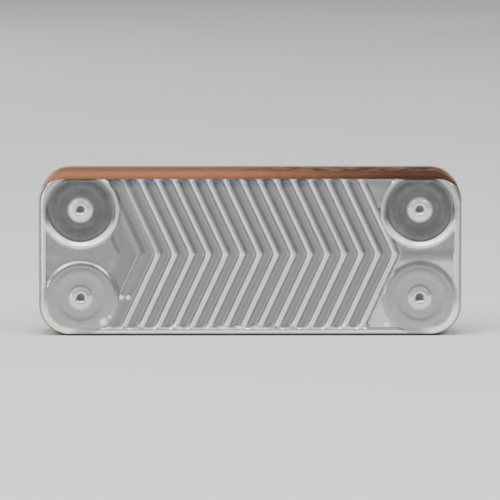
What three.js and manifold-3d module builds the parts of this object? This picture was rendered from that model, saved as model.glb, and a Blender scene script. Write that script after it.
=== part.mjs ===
// Brazed plate heat exchanger of a combination boiler: a stack of pressed stainless trays, every other one
// turned half round, with copper seams between their skirts, and a flat mounting plate with the four ports.
//
// Millimetres. +X runs along the exchanger, +Z is up, and the ports face +Y. The origin is the middle of
// the mounting plate's outer face, so the stack lies at negative Y and the blind, ribbed cover faces -Y.
import * as THREE from "three";
import { mergeVertices } from "three/addons/utils/BufferGeometryUtils.js";
import Module from "manifold-3d";

const wasm = await Module();
wasm.setup();

// ---- driving dimensions -------------------------------------------------------------------------------
const LENGTH = 192; // outline at the free edge of a skirt
const HEIGHT = 75;
const CORNER_RADIUS = 14;
const PORT_SPACING_X = 154; // between port centres
const PORT_SPACING_Z = 40;

const PLATES = 10; // cover, eight channel plates and the port end plate
const SHEET = 0.4;
const JOINT_GAP = 0.1; // left for the copper between two plates
const RELIEF = 1.9; // pressed depth, from ridge to valley
const PITCH = RELIEF + SHEET + JOINT_GAP;

const SKIRT_DEPTH = 4;
const SKIRT_ANGLE = THREE.MathUtils.degToRad(11.5);
const SKIRT_SLOPE = Math.tan(SKIRT_ANGLE);
const SKIRT_WALL = SHEET / Math.cos(SKIRT_ANGLE); // the sheet's thickness across a skirt, seen in plan
const FOLD_INSET = SKIRT_DEPTH * SKIRT_SLOPE;
const FOLD_CHAMFER = 1.6; // the cover's edge is broken by this much
const RIM_INNER_INSET = 3; // the raised rim ends here
const POCKET_INSET = 4.4; // and its inner wall meets the valley here

const RIDGE_PITCH = 7.68; // measured along X
const RIDGE_SLANT = Math.tan(THREE.MathUtils.degToRad(25));
const RIDGE_POINT_X = -3.2; // point of the ridge nearest the middle
const RIDGES_LEFT = 8; // ridges to either side of that one
const RIDGES_RIGHT = 9;
const RIDGE_TOP = 0.9; // half widths along X, on the cover
const RIDGE_FOOT = 2.5;

const DISC_FLOOR = 14.3; // sunken port disc: its flat, the top of its wall, and the ring ridge round it
const DISC_WALL = 16.6;
const RING_CREST = 17.8;
const RING_FOOT = 19.2;
const BOSS_DISC_TOP = 15.5; // raised port disc
const BOSS_DISC_FOOT = 18;
const PORT_HOLE = 9; // radius of the hole through the channel plates

const PIP_FOOT = 6; // small dimpled boss in the middle of each blind port
const PIP_TOP = 4.2;
const PIP_RISE = 0.8;
const PIP_DIMPLE = 2.3;

const MOUNTING_PLATE = 2; // thickness
const COLLAR_OUTER = 13;
const COLLAR_SEAT_OUTER = 12.2;
const COLLAR_RIM = 1.6; // the rim stands this proud of the mounting plate
const COLLAR_SEAT = -0.5; // level of the gasket seat
const GASKET_INNER = 9.6;
const GASKET_OUTER = 12;
const GASKET_TOP = 2.9;
const SPACER_OUTER = 12.6;
const BUSH_RADIUS = 4.5;
const BUSH_HOLE = 2.1; // radius of the M5 core
const BUSH_LENGTH = 5; // proud of the mounting plate
const BUSH_CHAMFER = 0.5;
const FIT = 0.3; // gap round a brazed-in piece
const SEAM_GAP = 0.03; // gap between a copper seam and the steel it wets
const SEAM_LEG = 1.3; // how far a seam runs along the next skirt

const CORNER_STEPS = 4;
const FINE_ROUND = 20; // sides of a circle on the cover and the port fittings
const PLAIN_ROUND = 12; // sides of a circle on the inner plates
const PAST = 1; // how far a cutter runs past what it cuts

// Y of the rim's outer face on a plate, counted from the cover, so that the mounting plate ends at 0.
const STACK_FRONT = -(MOUNTING_PLATE + PLATES * PITCH);
const rimY = (index) => STACK_FRONT + index * PITCH;
const VALLEY_BACK = RELIEF + SHEET;

// ---- materials ----------------------------------------------------------------------------------------
const finish = (color, roughness, metalness) =>
  new THREE.MeshStandardMaterial({ color, roughness, metalness });
const COVER_STEEL = finish(0xb9babc, 0.34, 1);
const PLATE_STEEL = finish(0xa8a6a3, 0.4, 1);
const COPPER = finish(0xb87552, 0.42, 1);
const MACHINED_STEEL = finish(0xc4c5c7, 0.28, 1);
const EPDM = finish(0x1c1c1d, 0.75, 0);

// ---- solids -------------------------------------------------------------------------------------------

/** A three.js geometry as a manifold-3d solid. */
function solid(geometry) {
  const bare = geometry.clone();
  bare.deleteAttribute("normal");
  bare.deleteAttribute("uv");
  const merged = mergeVertices(bare, 1e-4);
  return new wasm.Manifold(
    new wasm.Mesh({
      numProp: 3,
      vertProperties: merged.attributes.position.array,
      triVerts: new Uint32Array(merged.index.array),
    }),
  );
}

/** A manifold-3d solid as a flat-shaded three.js geometry. */
function geometryOf(made) {
  const { numProp, numVert, vertProperties, triVerts } = made.getMesh();
  const positions = new Float32Array(numVert * 3);
  for (let i = 0; i < numVert; i++) {
    positions.set(vertProperties.subarray(i * numProp, i * numProp + 3), i * 3);
  }
  const geometry = new THREE.BufferGeometry();
  geometry.setAttribute("position", new THREE.BufferAttribute(positions, 3));
  geometry.setIndex(new THREE.BufferAttribute(triVerts, 1));
  const flat = geometry.toNonIndexed();
  flat.computeVertexNormals();
  return flat;
}

/** Points of the exchanger's rounded outline, moved inwards by an inset. */
function outline(inset) {
  const radius = CORNER_RADIUS - inset;
  const cornerX = LENGTH / 2 - CORNER_RADIUS;
  const cornerZ = HEIGHT / 2 - CORNER_RADIUS;
  const points = [];
  for (let corner = 0; corner < 4; corner++) {
    const sideX = corner === 0 || corner === 3 ? 1 : -1;
    const sideZ = corner < 2 ? 1 : -1;
    for (let step = 0; step <= CORNER_STEPS; step++) {
      const angle = ((corner + step / CORNER_STEPS) * Math.PI) / 2;
      const x = sideX * cornerX + radius * Math.cos(angle);
      const z = sideZ * cornerZ + radius * Math.sin(angle);
      points.push([x, z]);
    }
  }
  return points;
}

/** Carries a section round the outline. Each section point is [inset, y]. A closed section makes a hoop, and
 *  an open one a capped block. The material lies on the left of the section as inset grows to the right. */
function carried(section, closed) {
  const rings = section.map(([inset, y]) => outline(inset).map(([x, z]) => [x, y, z]));
  const around = rings[0].length;
  const index = [];
  const spans = closed ? rings.length : rings.length - 1;
  for (let ring = 0; ring < spans; ring++) {
    const here = ring * around;
    const next = ((ring + 1) % rings.length) * around;
    for (let side = 0; side < around; side++) {
      const after = (side + 1) % around;
      index.push(here + side, next + side, next + after, here + side, next + after, here + after);
    }
  }
  if (!closed) {
    const cap = THREE.ShapeUtils.triangulateShape(
      outline(section[0][0]).map(([x, z]) => new THREE.Vector2(x, z)),
      [],
    );
    const last = (rings.length - 1) * around;
    cap.forEach(([a, b, c]) => index.push(a, b, c, last + a, last + c, last + b));
  }
  const geometry = new THREE.BufferGeometry();
  geometry.setAttribute("position", new THREE.Float32BufferAttribute(rings.flat(2), 3));
  geometry.setIndex(index);
  return solid(geometry);
}

/** A turned piece at [x, z]: a closed section of [radius, y] points, carried round the Y axis. */
function turned(profile, sides, [x, z]) {
  const closed = [...profile, profile[0]].map(([radius, y]) => new THREE.Vector2(radius, y));
  return solid(new THREE.LatheGeometry(closed, sides)).translate([x, 0, z]);
}

// Each port as [x, z], as seen with the cover towards the viewer and +X to the right.
const PORTS = {
  upper_left: [-PORT_SPACING_X / 2, PORT_SPACING_Z / 2],
  upper_right: [PORT_SPACING_X / 2, PORT_SPACING_Z / 2],
  lower_left: [-PORT_SPACING_X / 2, -PORT_SPACING_Z / 2],
  lower_right: [PORT_SPACING_X / 2, -PORT_SPACING_Z / 2],
};
const SUNKEN = [PORTS.upper_left, PORTS.upper_right];
const RAISED = [PORTS.lower_left, PORTS.lower_right];
const BUSHES = {
  left: [-PORT_SPACING_X / 2, 0],
  right: [PORT_SPACING_X / 2, 0],
};

/** The herringbone: one corrugated section carried along Z and folded back about Z = 0. Its ridges are
 *  flat topped, or plain folds. */
function herringbone(flatTopped) {
  const section = new THREE.Shape();
  const half = RIDGE_PITCH / 2;
  const flat = [[-RIDGE_FOOT, RELIEF], [-RIDGE_TOP, 0], [RIDGE_TOP, 0], [RIDGE_FOOT, RELIEF]];
  const fold = [[-half, RELIEF], [0, 0]];
  const points = [];
  for (let ridge = -RIDGES_LEFT; ridge <= RIDGES_RIGHT; ridge++) {
    const middle = RIDGE_POINT_X + ridge * RIDGE_PITCH;
    points.push(...(flatTopped ? flat : fold).map(([x, y]) => [middle + x, y]));
  }
  if (!flatTopped) {
    points.push([RIDGE_POINT_X + RIDGES_RIGHT * RIDGE_PITCH + half, RELIEF]);
  }
  const [first, last] = [points[0][0], points.at(-1)[0]];
  points.push([last, VALLEY_BACK], [first, VALLEY_BACK]);
  section.setFromPoints(points.map(([x, y]) => new THREE.Vector2(x, y)));
  const geometry = new THREE.ExtrudeGeometry(section, { depth: HEIGHT, steps: 2, bevelEnabled: false });
  geometry.translate(0, 0, -HEIGHT / 2);
  const places = geometry.attributes.position;
  for (let i = 0; i < places.count; i++) {
    places.setX(i, places.getX(i) - Math.abs(places.getZ(i)) * RIDGE_SLANT);
  }
  return solid(geometry);
}

/** What the press takes out of a plate's face, down from the rim's level at y = 0. */
function pressing({ sides, fine }) {
  const wallSlope = (POCKET_INSET - RIM_INNER_INSET) / RELIEF;
  const pocket = carried([[RIM_INNER_INSET - PAST * wallSlope, -PAST], [POCKET_INSET, RELIEF]], false);
  const ridges = herringbone(fine);
  const discs = RAISED.map((at) =>
    turned([[0, 0], [BOSS_DISC_TOP, 0], [BOSS_DISC_FOOT, RELIEF], [0, RELIEF]], sides, at),
  );
  const rings = SUNKEN.map((at) =>
    turned([[DISC_FLOOR, RELIEF], [DISC_WALL, 0], [RING_CREST, 0], [RING_FOOT, RELIEF]], sides, at),
  );
  const wells = SUNKEN.map((at) =>
    turned([[0, -PAST], [DISC_WALL, -PAST], [DISC_WALL, 0], [DISC_FLOOR, RELIEF], [0, RELIEF]], sides, at),
  );
  let taken = pocket.subtract(ridges);
  wells.forEach((well) => (taken = taken.add(well.intersect(pocket))));
  [...discs, ...(fine ? rings : [])].forEach((piece) => (taken = taken.subtract(piece)));
  return taken;
}

/** A pressed tray: a block with the pressing taken out, less the same block moved back by the sheet. */
function tray({ sides, fine }) {
  const face = (inset, y) =>
    fine
      ? [
          [inset + FOLD_INSET + FOLD_CHAMFER, y],
          [inset + FOLD_INSET - FOLD_CHAMFER * SKIRT_SLOPE, y + FOLD_CHAMFER],
        ]
      : [[inset + FOLD_INSET, y]];
  const taken = pressing({ sides, fine });
  const outer = carried([...face(0, 0), [0, SKIRT_DEPTH]], false).subtract(taken);
  const deep = SKIRT_DEPTH + PAST;
  const innerEdge = [SKIRT_WALL - PAST * SKIRT_SLOPE, deep];
  const innerFace = face(SKIRT_WALL - SHEET * SKIRT_SLOPE, SHEET);
  const inner = carried([...innerFace, innerEdge], false).subtract(taken.translate([0, SHEET, 0]));
  return { outer, inner };
}

/** The blind cover, with a dimpled pip in the middle of each port disc. */
function coverPlate() {
  let { outer, inner } = tray({ sides: FINE_ROUND, fine: true });
  const pip = (level, at) =>
    turned(
      [
        [0, level + SHEET / 2],
        [0, level],
        [PIP_DIMPLE - SHEET, level],
        [PIP_DIMPLE, level - PIP_RISE],
        [PIP_TOP, level - PIP_RISE],
        [PIP_FOOT, level],
        [PIP_FOOT, level + SHEET / 2],
      ],
      FINE_ROUND,
      at,
    );
  const pips = [...SUNKEN.map((at) => pip(RELIEF, at)), ...RAISED.map((at) => pip(0, at))];
  pips.forEach((piece) => {
    outer = outer.add(piece);
    inner = inner.add(piece.translate([0, SHEET, 0]));
  });
  return outer.subtract(inner);
}

/** A channel plate: the same tray without the pips, with its four ports punched through. */
function channelPlate() {
  const { outer, inner } = tray({ sides: PLAIN_ROUND, fine: false });
  const punch = [[0, -PAST], [PORT_HOLE, -PAST], [PORT_HOLE, SKIRT_DEPTH], [0, SKIRT_DEPTH]];
  let made = outer.subtract(inner);
  Object.values(PORTS).forEach((at) => (made = made.subtract(turned(punch, PLAIN_ROUND, at))));
  return made;
}

/** The copper that fills the step between one skirt's edge and the next skirt. y = 0 is that plate's rim. */
function brazeSeam() {
  const edge = SKIRT_DEPTH - PITCH + SEAM_GAP;
  const skirtInset = (y) => (SKIRT_DEPTH - y) * SKIRT_SLOPE - SEAM_GAP;
  const toe = edge + SEAM_LEG;
  return carried([[SEAM_GAP, edge], [skirtInset(toe), toe], [skirtInset(edge), edge]], true);
}

/** The copper round the mounting plate, in the corner between its edge and the last skirt. */
function mountingSeam(plateInset) {
  const foot = SKIRT_DEPTH + SEAM_GAP;
  const inner = plateInset - SEAM_GAP;
  return carried([[SEAM_GAP, foot], [inner, foot + MOUNTING_PLATE / 8], [inner, foot]], true);
}

/** The flat mounting plate, pierced for the collars and the bushes. It lies inside the last skirt. */
function mountingPlate(inset) {
  const back = -MOUNTING_PLATE - PAST;
  const drill = (radius) => [[0, back], [radius, back], [radius, PAST], [0, PAST]];
  const holes = [
    ...Object.values(PORTS).map((at) => turned(drill(COLLAR_OUTER + FIT), FINE_ROUND, at)),
    ...Object.values(BUSHES).map((at) => turned(drill(BUSH_RADIUS + FIT), PLAIN_ROUND, at)),
  ];
  let plate = carried([[inset, -MOUNTING_PLATE], [inset, 0]], false);
  holes.forEach((hole) => (plate = plate.subtract(hole)));
  return plate;
}

/** A port collar, brazed into the mounting plate, with a rimmed seat for its gasket. */
const collarProfile = [
  [PORT_HOLE, -MOUNTING_PLATE],
  [COLLAR_OUTER, -MOUNTING_PLATE],
  [COLLAR_OUTER, COLLAR_RIM],
  [COLLAR_SEAT_OUTER, COLLAR_RIM],
  [COLLAR_SEAT_OUTER, COLLAR_SEAT],
  [PORT_HOLE, COLLAR_SEAT],
];

/** A gasket: a six-sided section that stands proud of the collar's rim. */
const gasketMiddle = (GASKET_TOP + COLLAR_SEAT) / 2;
const gasketProfile = [
  [GASKET_INNER + 0.5, COLLAR_SEAT + JOINT_GAP],
  [GASKET_OUTER - 0.5, COLLAR_SEAT + JOINT_GAP],
  [GASKET_OUTER, gasketMiddle],
  [GASKET_OUTER - 0.5, GASKET_TOP],
  [GASKET_INNER + 0.5, GASKET_TOP],
  [GASKET_INNER, gasketMiddle],
];

/** The ring that closes the gap between a raised port disc and the mounting plate. */
const spacerProfile = [
  [PORT_HOLE, -MOUNTING_PLATE - PITCH + SHEET + JOINT_GAP],
  [SPACER_OUTER, -MOUNTING_PLATE - PITCH + SHEET + JOINT_GAP],
  [SPACER_OUTER, -MOUNTING_PLATE - JOINT_GAP],
  [PORT_HOLE, -MOUNTING_PLATE - JOINT_GAP],
];

/** A threaded bush, brazed into the mounting plate between two ports. */
const bushProfile = [
  [BUSH_HOLE, -MOUNTING_PLATE],
  [BUSH_RADIUS, -MOUNTING_PLATE],
  [BUSH_RADIUS, BUSH_LENGTH - BUSH_CHAMFER],
  [BUSH_RADIUS - BUSH_CHAMFER, BUSH_LENGTH],
  [BUSH_HOLE, BUSH_LENGTH],
];

// ---- assembly -----------------------------------------------------------------------------------------
const exchanger = new THREE.Group();

/** Adds one named piece. A turned plate is set half round the Y axis. */
function add(name, geometry, material, { y = 0, turn = false } = {}) {
  const mesh = new THREE.Mesh(geometry, material);
  mesh.name = name;
  mesh.position.y = y;
  mesh.rotation.y = turn ? Math.PI : 0;
  exchanger.add(mesh);
}

add("rear_cover_plate", geometryOf(coverPlate()), COVER_STEEL, { y: rimY(0) });
const channelGeometry = geometryOf(channelPlate());
for (let index = 1; index < PLATES; index++) {
  const name = index < PLATES - 1 ? `channel_plate_${index}` : "port_end_plate";
  add(name, channelGeometry, PLATE_STEEL, { y: rimY(index), turn: index % 2 === 1 });
}
const seamGeometry = geometryOf(brazeSeam());
for (let index = 1; index < PLATES; index++) {
  add(`braze_seam_${index}`, seamGeometry, COPPER, { y: rimY(index) });
}

const mountingInset = (SKIRT_DEPTH - PITCH) * SKIRT_SLOPE + SKIRT_WALL + JOINT_GAP;
add("mounting_plate", geometryOf(mountingPlate(mountingInset)), MACHINED_STEEL);
add("mounting_braze_seam", geometryOf(mountingSeam(mountingInset)), COPPER, { y: rimY(PLATES - 1) });

for (const [place, at] of Object.entries(PORTS)) {
  add(`port_collar_${place}`, geometryOf(turned(collarProfile, FINE_ROUND, at)), MACHINED_STEEL);
  add(`port_gasket_${place}`, geometryOf(turned(gasketProfile, FINE_ROUND, at)), EPDM);
}
for (const [side, at] of Object.entries(BUSHES)) {
  const port = PORTS[`upper_${side}`];
  add(`port_spacer_ring_${side}`, geometryOf(turned(spacerProfile, PLAIN_ROUND, port)), MACHINED_STEEL);
  add(`threaded_bush_${side}`, geometryOf(turned(bushProfile, PLAIN_ROUND, at)), MACHINED_STEEL);
}

export default exchanger;
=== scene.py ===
"""Brazed plate heat exchanger of a combination boiler, built and dressed for display.

Lengths in the classes are millimetres, other than the studio's, which are metres. In the row's own frame
+X runs along the exchanger, +Y points out of its ports and +Z is up. The origin is the middle of the
mounting plate's outer face. Meshes are made in metres.
"""

from __future__ import annotations

import logging
import math
from dataclasses import dataclass, field
from enum import Enum
from typing import Any, Callable, ClassVar, Iterable, Mapping, Sequence

import bmesh
import bpy
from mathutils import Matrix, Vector, noise
from mathutils.geometry import delaunay_2d_cdt


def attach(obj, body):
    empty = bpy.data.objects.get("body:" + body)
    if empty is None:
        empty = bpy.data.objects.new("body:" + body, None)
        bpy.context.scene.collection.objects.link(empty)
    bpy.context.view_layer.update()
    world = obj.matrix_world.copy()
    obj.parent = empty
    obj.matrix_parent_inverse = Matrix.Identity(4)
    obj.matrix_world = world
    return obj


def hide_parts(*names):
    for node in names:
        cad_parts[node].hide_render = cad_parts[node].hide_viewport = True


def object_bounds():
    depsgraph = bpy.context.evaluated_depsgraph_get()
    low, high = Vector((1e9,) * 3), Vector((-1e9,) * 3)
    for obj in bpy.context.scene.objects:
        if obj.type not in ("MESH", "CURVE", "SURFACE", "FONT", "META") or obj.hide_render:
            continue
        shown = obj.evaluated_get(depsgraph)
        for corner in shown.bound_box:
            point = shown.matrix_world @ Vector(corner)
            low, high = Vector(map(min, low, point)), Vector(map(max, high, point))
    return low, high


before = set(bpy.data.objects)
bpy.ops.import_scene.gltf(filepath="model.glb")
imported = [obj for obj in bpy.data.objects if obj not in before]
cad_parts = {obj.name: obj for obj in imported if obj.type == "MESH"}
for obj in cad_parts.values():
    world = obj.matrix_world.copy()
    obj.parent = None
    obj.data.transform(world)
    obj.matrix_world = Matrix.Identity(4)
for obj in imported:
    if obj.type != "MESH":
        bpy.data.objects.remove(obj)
CAD_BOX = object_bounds()

LOG = logging.getLogger("exchanger")
MM = 0.001
PER_METRE = 1000.0
BODY = "root"

Plan = tuple[float, float]
Point = tuple[float, float, float]
Colour = tuple[float, float, float]


class Slot(Enum):
    """The record's material slots."""

    COVER = "cover_steel"
    PLATE = "plate_steel"
    MOUNTING = "mounting_steel"
    COPPER = "braze_copper"
    MACHINED = "machined_steel"
    RUBBER = "gasket_rubber"


@dataclass(frozen=True)
class MeshSteps:
    """Steps and spacings of a pressed sheet's mesh, the spacings in millimetres.

    Attributes:
        corner: steps round each corner of the outline.
        edge: spacing along the straight sides.
        ridge: steps across each ridge.
        row: spacing of the rows that cross the herringbone.
        port: steps round a port's disc.
        fold: steps down the rounded edge.
        apart: the least distance between two points.
    """

    corner: int
    edge: float
    ridge: int
    row: float
    port: int
    fold: int
    apart: float


class Fineness(Enum):
    """How closely a pressed sheet is meshed."""

    SHOWN = MeshSteps(corner=20, edge=1.5, ridge=14, row=0.95, port=150, fold=7, apart=0.34)
    INNER = MeshSteps(corner=14, edge=4.0, ridge=4, row=4.0, port=40, fold=4, apart=0.9)


# ---- shapes ------------------------------------------------------------------------------------------------


def smooth(low: float, high: float, value: float) -> float:
    """A soft step from 0 at low to 1 at high."""
    t = min(1.0, max(0.0, (value - low) / (high - low)))
    return t * t * (3.0 - 2.0 * t)


def soft_max(first: float, second: float, blend: float) -> float:
    """The larger of two numbers, with a rounded changeover.

    Args:
        first: one number.
        second: the other.
        blend: the difference below which they are rounded together.

    Returns:
        The larger, raised a little where the two are close.
    """
    h = max(0.0, blend - abs(first - second)) / blend
    return max(first, second) + h * h * blend * 0.25


def ripple(x: float, z: float, size: float, seed: float) -> float:
    """Smooth noise from -1 to 1, whose features are about size across.

    Args:
        x: place along the exchanger.
        z: place up it.
        size: about how wide a feature is.
        seed: picks another pattern.

    Returns:
        The noise at that place.
    """
    return noise.noise(Vector((x / size, seed * 7.31, z / size)))


@dataclass
class Surface:
    """Points and faces of a mesh while it is put together, in millimetres."""

    points: list[Point] = field(default_factory=list)
    faces: list[tuple[int, ...]] = field(default_factory=list)

    def loop(self, points: Iterable[Point]) -> list[int]:
        """Adds points and returns their numbers."""
        first = len(self.points)
        self.points.extend(points)
        return list(range(first, len(self.points)))

    def band(self, inner: Sequence[int], outer: Sequence[int]) -> None:
        """Joins two closed loops of the same length with four-sided faces.

        Args:
            inner: numbers of one loop's points.
            outer: numbers of the other's.
        """
        count = len(inner)
        for here in range(count):
            after = (here + 1) % count
            self.faces.append((inner[here], outer[here], outer[after], inner[after]))

    def thicken(self, thickness: float) -> None:
        """Turns an open sheet into a closed one, by adding its back and its edges.

        Args:
            thickness: how far behind each point its copy lies, along the normal.
        """
        sheet = self._bmesh()
        sheet.normal_update()
        count = len(self.points)
        back = [tuple(vert.co - vert.normal * thickness) for vert in sheet.verts]
        edges = [
            (edge.link_loops[0].vert.index, edge.link_loops[0].link_loop_next.vert.index)
            for edge in sheet.edges
            if edge.is_boundary
        ]
        sheet.free()
        self.points.extend(back)
        self.faces.extend([tuple(reversed([corner + count for corner in face])) for face in self.faces])
        self.faces.extend((second, first, first + count, second + count) for first, second in edges)

    def _bmesh(self) -> bmesh.types.BMesh:
        """The surface as a bmesh, still in millimetres."""
        made = bmesh.new()
        verts = [made.verts.new(point) for point in self.points]
        for face in self.faces:
            made.faces.new([verts[corner] for corner in face])
        made.verts.index_update()
        return made

    def piece(self, name: str, sharp: float = 38.0) -> bpy.types.Object:
        """Makes the Blender object.

        Args:
            name: the piece's name.
            sharp: edges that turn by more than this many degrees stay sharp.

        Returns:
            The object, linked to the scene.
        """
        made = self._bmesh()
        bmesh.ops.recalc_face_normals(made, faces=made.faces)
        bmesh.ops.scale(made, vec=(MM, MM, MM), verts=made.verts)
        mesh = bpy.data.meshes.new(name)
        made.to_mesh(mesh)
        made.free()
        mesh.polygons.foreach_set("use_smooth", [True] * len(mesh.polygons))
        mesh.set_sharp_from_angle(angle=math.radians(sharp))
        shown = bpy.data.objects.new(name, mesh)
        bpy.context.scene.collection.objects.link(shown)
        return shown


@dataclass(frozen=True)
class Outline:
    """The rounded outline that the plates share, at any inset from a skirt's free edge."""

    length: float = 192.0
    height: float = 75.0
    corner: float = 14.0

    def ring(self, inset: float, steps: int, pitch: float) -> list[Plan]:
        """Points round the outline, counted so that every inset has the same number.

        Args:
            inset: how far inside the free edge the ring lies.
            steps: steps round each corner.
            pitch: about how far apart the points on the straight sides are.

        Returns:
            The points, anticlockwise as seen from the cover's side.
        """
        reach_x = self.length / 2 - self.corner
        reach_z = self.height / 2 - self.corner
        radius = self.corner - inset
        points: list[Plan] = []
        for quarter, (sign_x, sign_z) in enumerate(((1, 1), (-1, 1), (-1, -1), (1, -1))):
            middle = (sign_x * reach_x, sign_z * reach_z)
            for step in range(steps + 1):
                angle = (quarter + step / steps) * math.pi / 2
                points.append((middle[0] + radius * math.cos(angle), middle[1] + radius * math.sin(angle)))
            along = reach_x if quarter % 2 == 0 else reach_z
            parts = max(2, round(2 * along / pitch))
            start = points[-1]
            for part in range(1, parts):
                shift = 2 * along * part / parts
                if quarter % 2 == 0:
                    points.append((start[0] - sign_x * shift, start[1]))
                else:
                    points.append((start[0], start[1] - sign_z * shift))
        return points

    def inset_at(self, x: float, z: float) -> float:
        """How far a point lies inside the free edge.

        Args:
            x: place along the exchanger.
            z: place up it.

        Returns:
            The distance, which is negative outside.
        """
        over_x = abs(x) - (self.length / 2 - self.corner)
        over_z = abs(z) - (self.height / 2 - self.corner)
        outside = math.hypot(max(over_x, 0.0), max(over_z, 0.0))
        return self.corner - outside - min(max(over_x, over_z), 0.0)


@dataclass
class Scatter:
    """Plan points kept at least a given distance apart, ready to be joined into triangles."""

    apart: float
    points: list[Plan] = field(default_factory=list)
    edges: list[tuple[int, int]] = field(default_factory=list)
    _cells: dict[tuple[int, int], list[int]] = field(default_factory=dict)

    def add(self, x: float, z: float) -> None:
        """Adds a point unless another is too close.

        Args:
            x: place along the exchanger.
            z: place up it.
        """
        cell = (math.floor(x / self.apart), math.floor(z / self.apart))
        for near_x in range(cell[0] - 1, cell[0] + 2):
            for near_z in range(cell[1] - 1, cell[1] + 2):
                for other in self._cells.get((near_x, near_z), ()):
                    if math.dist(self.points[other], (x, z)) < self.apart:
                        return
        self._keep(cell, x, z)

    def _keep(self, cell: tuple[int, int], x: float, z: float) -> None:
        """Stores a point."""
        self._cells.setdefault(cell, []).append(len(self.points))
        self.points.append((x, z))

    def hoop(self, points: Sequence[Plan]) -> list[int]:
        """Adds a closed loop whose edges the triangles must keep.

        Args:
            points: the loop, in order.

        Returns:
            The numbers of its points.
        """
        first = len(self.points)
        for x, z in points:
            self._keep((math.floor(x / self.apart), math.floor(z / self.apart)), x, z)
        numbers = list(range(first, len(self.points)))
        self.edges.extend(zip(numbers, numbers[1:] + numbers[:1]))
        return numbers

    def triangles(self, keep: Callable[[float, float], bool]) -> list[tuple[int, ...]]:
        """Joins the points inside the first hoop into triangles.

        Args:
            keep: says whether a triangle whose middle is at (x, z) is wanted.

        Returns:
            Corner numbers of each triangle, anticlockwise as seen from the cover's side.
        """
        flat = [Vector(point) for point in self.points]
        joined = delaunay_2d_cdt(flat, self.edges, [], 1, 1e-5)
        source = [origin[0] for origin in joined[3]]
        made: list[tuple[int, ...]] = []
        for face in joined[2]:
            corners = [source[corner] for corner in face]
            (ax, az), (bx, bz), (cx, cz) = (self.points[corner] for corner in corners)
            if not keep((ax + bx + cx) / 3, (az + bz + cz) / 3):
                continue
            area = (bx - ax) * (cz - az) - (cx - ax) * (bz - az)
            made.append(tuple(corners if area > 0 else reversed(corners)))
        return made


def circle(centre: Plan, radius: float, sides: int) -> list[Plan]:
    """Points round a circle in plan.

    Args:
        centre: x and z of its middle.
        radius: its radius.
        sides: how many points it has.

    Returns:
        The points, in order.
    """
    turns = [2 * math.pi * side / sides for side in range(sides)]
    return [(centre[0] + radius * math.cos(turn), centre[1] + radius * math.sin(turn)) for turn in turns]


def lathe(
    profile: Sequence[tuple[float, float]],
    centre: Plan,
    sides: int,
    waver: Callable[[float, float, int], tuple[float, float]] | None = None,
) -> Surface:
    """Turns a closed section round the Y axis of a port or bush.

    Args:
        profile: radius and y of each point of the section.
        centre: x and z of the axis.
        sides: steps round the axis.
        waver: radius and y shifts of a point, from its place and its number in the section.

    Returns:
        The closed ring.
    """
    made = Surface()
    loops = []
    for number, (radius, y) in enumerate(profile):
        ring = []
        for x, z in circle((0.0, 0.0), 1.0, sides):
            wide, far = waver(x, z, number) if waver else (0.0, 0.0)
            ring.append((centre[0] + (radius + wide) * x, y + far, centre[1] + (radius + wide) * z))
        loops.append(made.loop(ring))
    for here, after in zip(loops, loops[1:] + loops[:1]):
        made.band(here, after)
    return made


def rounded(section: Sequence[Plan], radius: float, steps: int = 3) -> list[Plan]:
    """Rounds every corner of a closed section.

    Args:
        section: radius and y of each corner.
        radius: how far along each side the rounding starts.
        steps: steps in each rounded corner.

    Returns:
        The points of the rounded section.
    """
    points: list[Plan] = []
    corners = [Vector(corner) for corner in section]
    for here, corner in enumerate(corners):
        before, after = corners[here - 1], corners[(here + 1) % len(corners)]
        reach = min(radius, (before - corner).length * 0.45, (after - corner).length * 0.45)
        start = corner + (before - corner).normalized() * reach
        end = corner + (after - corner).normalized() * reach
        for step in range(steps + 1):
            t = step / steps
            point = start * (1 - t) ** 2 + corner * (2 * t * (1 - t)) + end * t**2
            points.append((point.x, point.y))
    return points


# ---- nodes and finishes ------------------------------------------------------------------------------------


class Value:
    """A number that varies over a surface. Arithmetic on it adds the Math nodes."""

    def __init__(self, bench: Bench, socket: bpy.types.NodeSocket) -> None:
        """Wraps an output socket."""
        self.bench = bench
        self.socket = socket

    def _math(self, operation: str, *terms: Value | float) -> Value:
        """Adds one Math node."""
        made = self.bench.node("ShaderNodeMath", {"operation": operation}, dict(enumerate(terms)))
        return Value(self.bench, made.outputs[0])

    def __add__(self, other: Value | float) -> Value:
        """Sum."""
        return self._math("ADD", self, other)

    __radd__ = __add__

    def __sub__(self, other: Value | float) -> Value:
        """Difference."""
        return self._math("SUBTRACT", self, other)

    def __rsub__(self, other: float) -> Value:
        """Difference from a plain number."""
        return self._math("SUBTRACT", other, self)

    def __mul__(self, other: Value | float) -> Value:
        """Product."""
        return self._math("MULTIPLY", self, other)

    __rmul__ = __mul__

    def __pow__(self, other: float) -> Value:
        """Power."""
        return self._math("POWER", self, other)

    def __abs__(self) -> Value:
        """Size without sign."""
        return self._math("ABSOLUTE", self)

    def larger(self, other: Value | float) -> Value:
        """The larger of two."""
        return self._math("MAXIMUM", self, other)

    def wave(self) -> Value:
        """Sine of the value in radians."""
        return self._math("SINE", self)

    def mask(self, low: float, high: float) -> Value:
        """A soft mask that is 0 at low and 1 at high.

        Args:
            low: value at which the mask starts.
            high: value at which it is whole.

        Returns:
            The mask.
        """
        made = self.bench.node(
            "ShaderNodeMapRange",
            {"interpolation_type": "SMOOTHSTEP", "clamp": True},
            {"Value": self, "From Min": low, "From Max": high, "To Min": 0.0, "To Max": 1.0},
        )
        return Value(self.bench, made.outputs[0])


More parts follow.
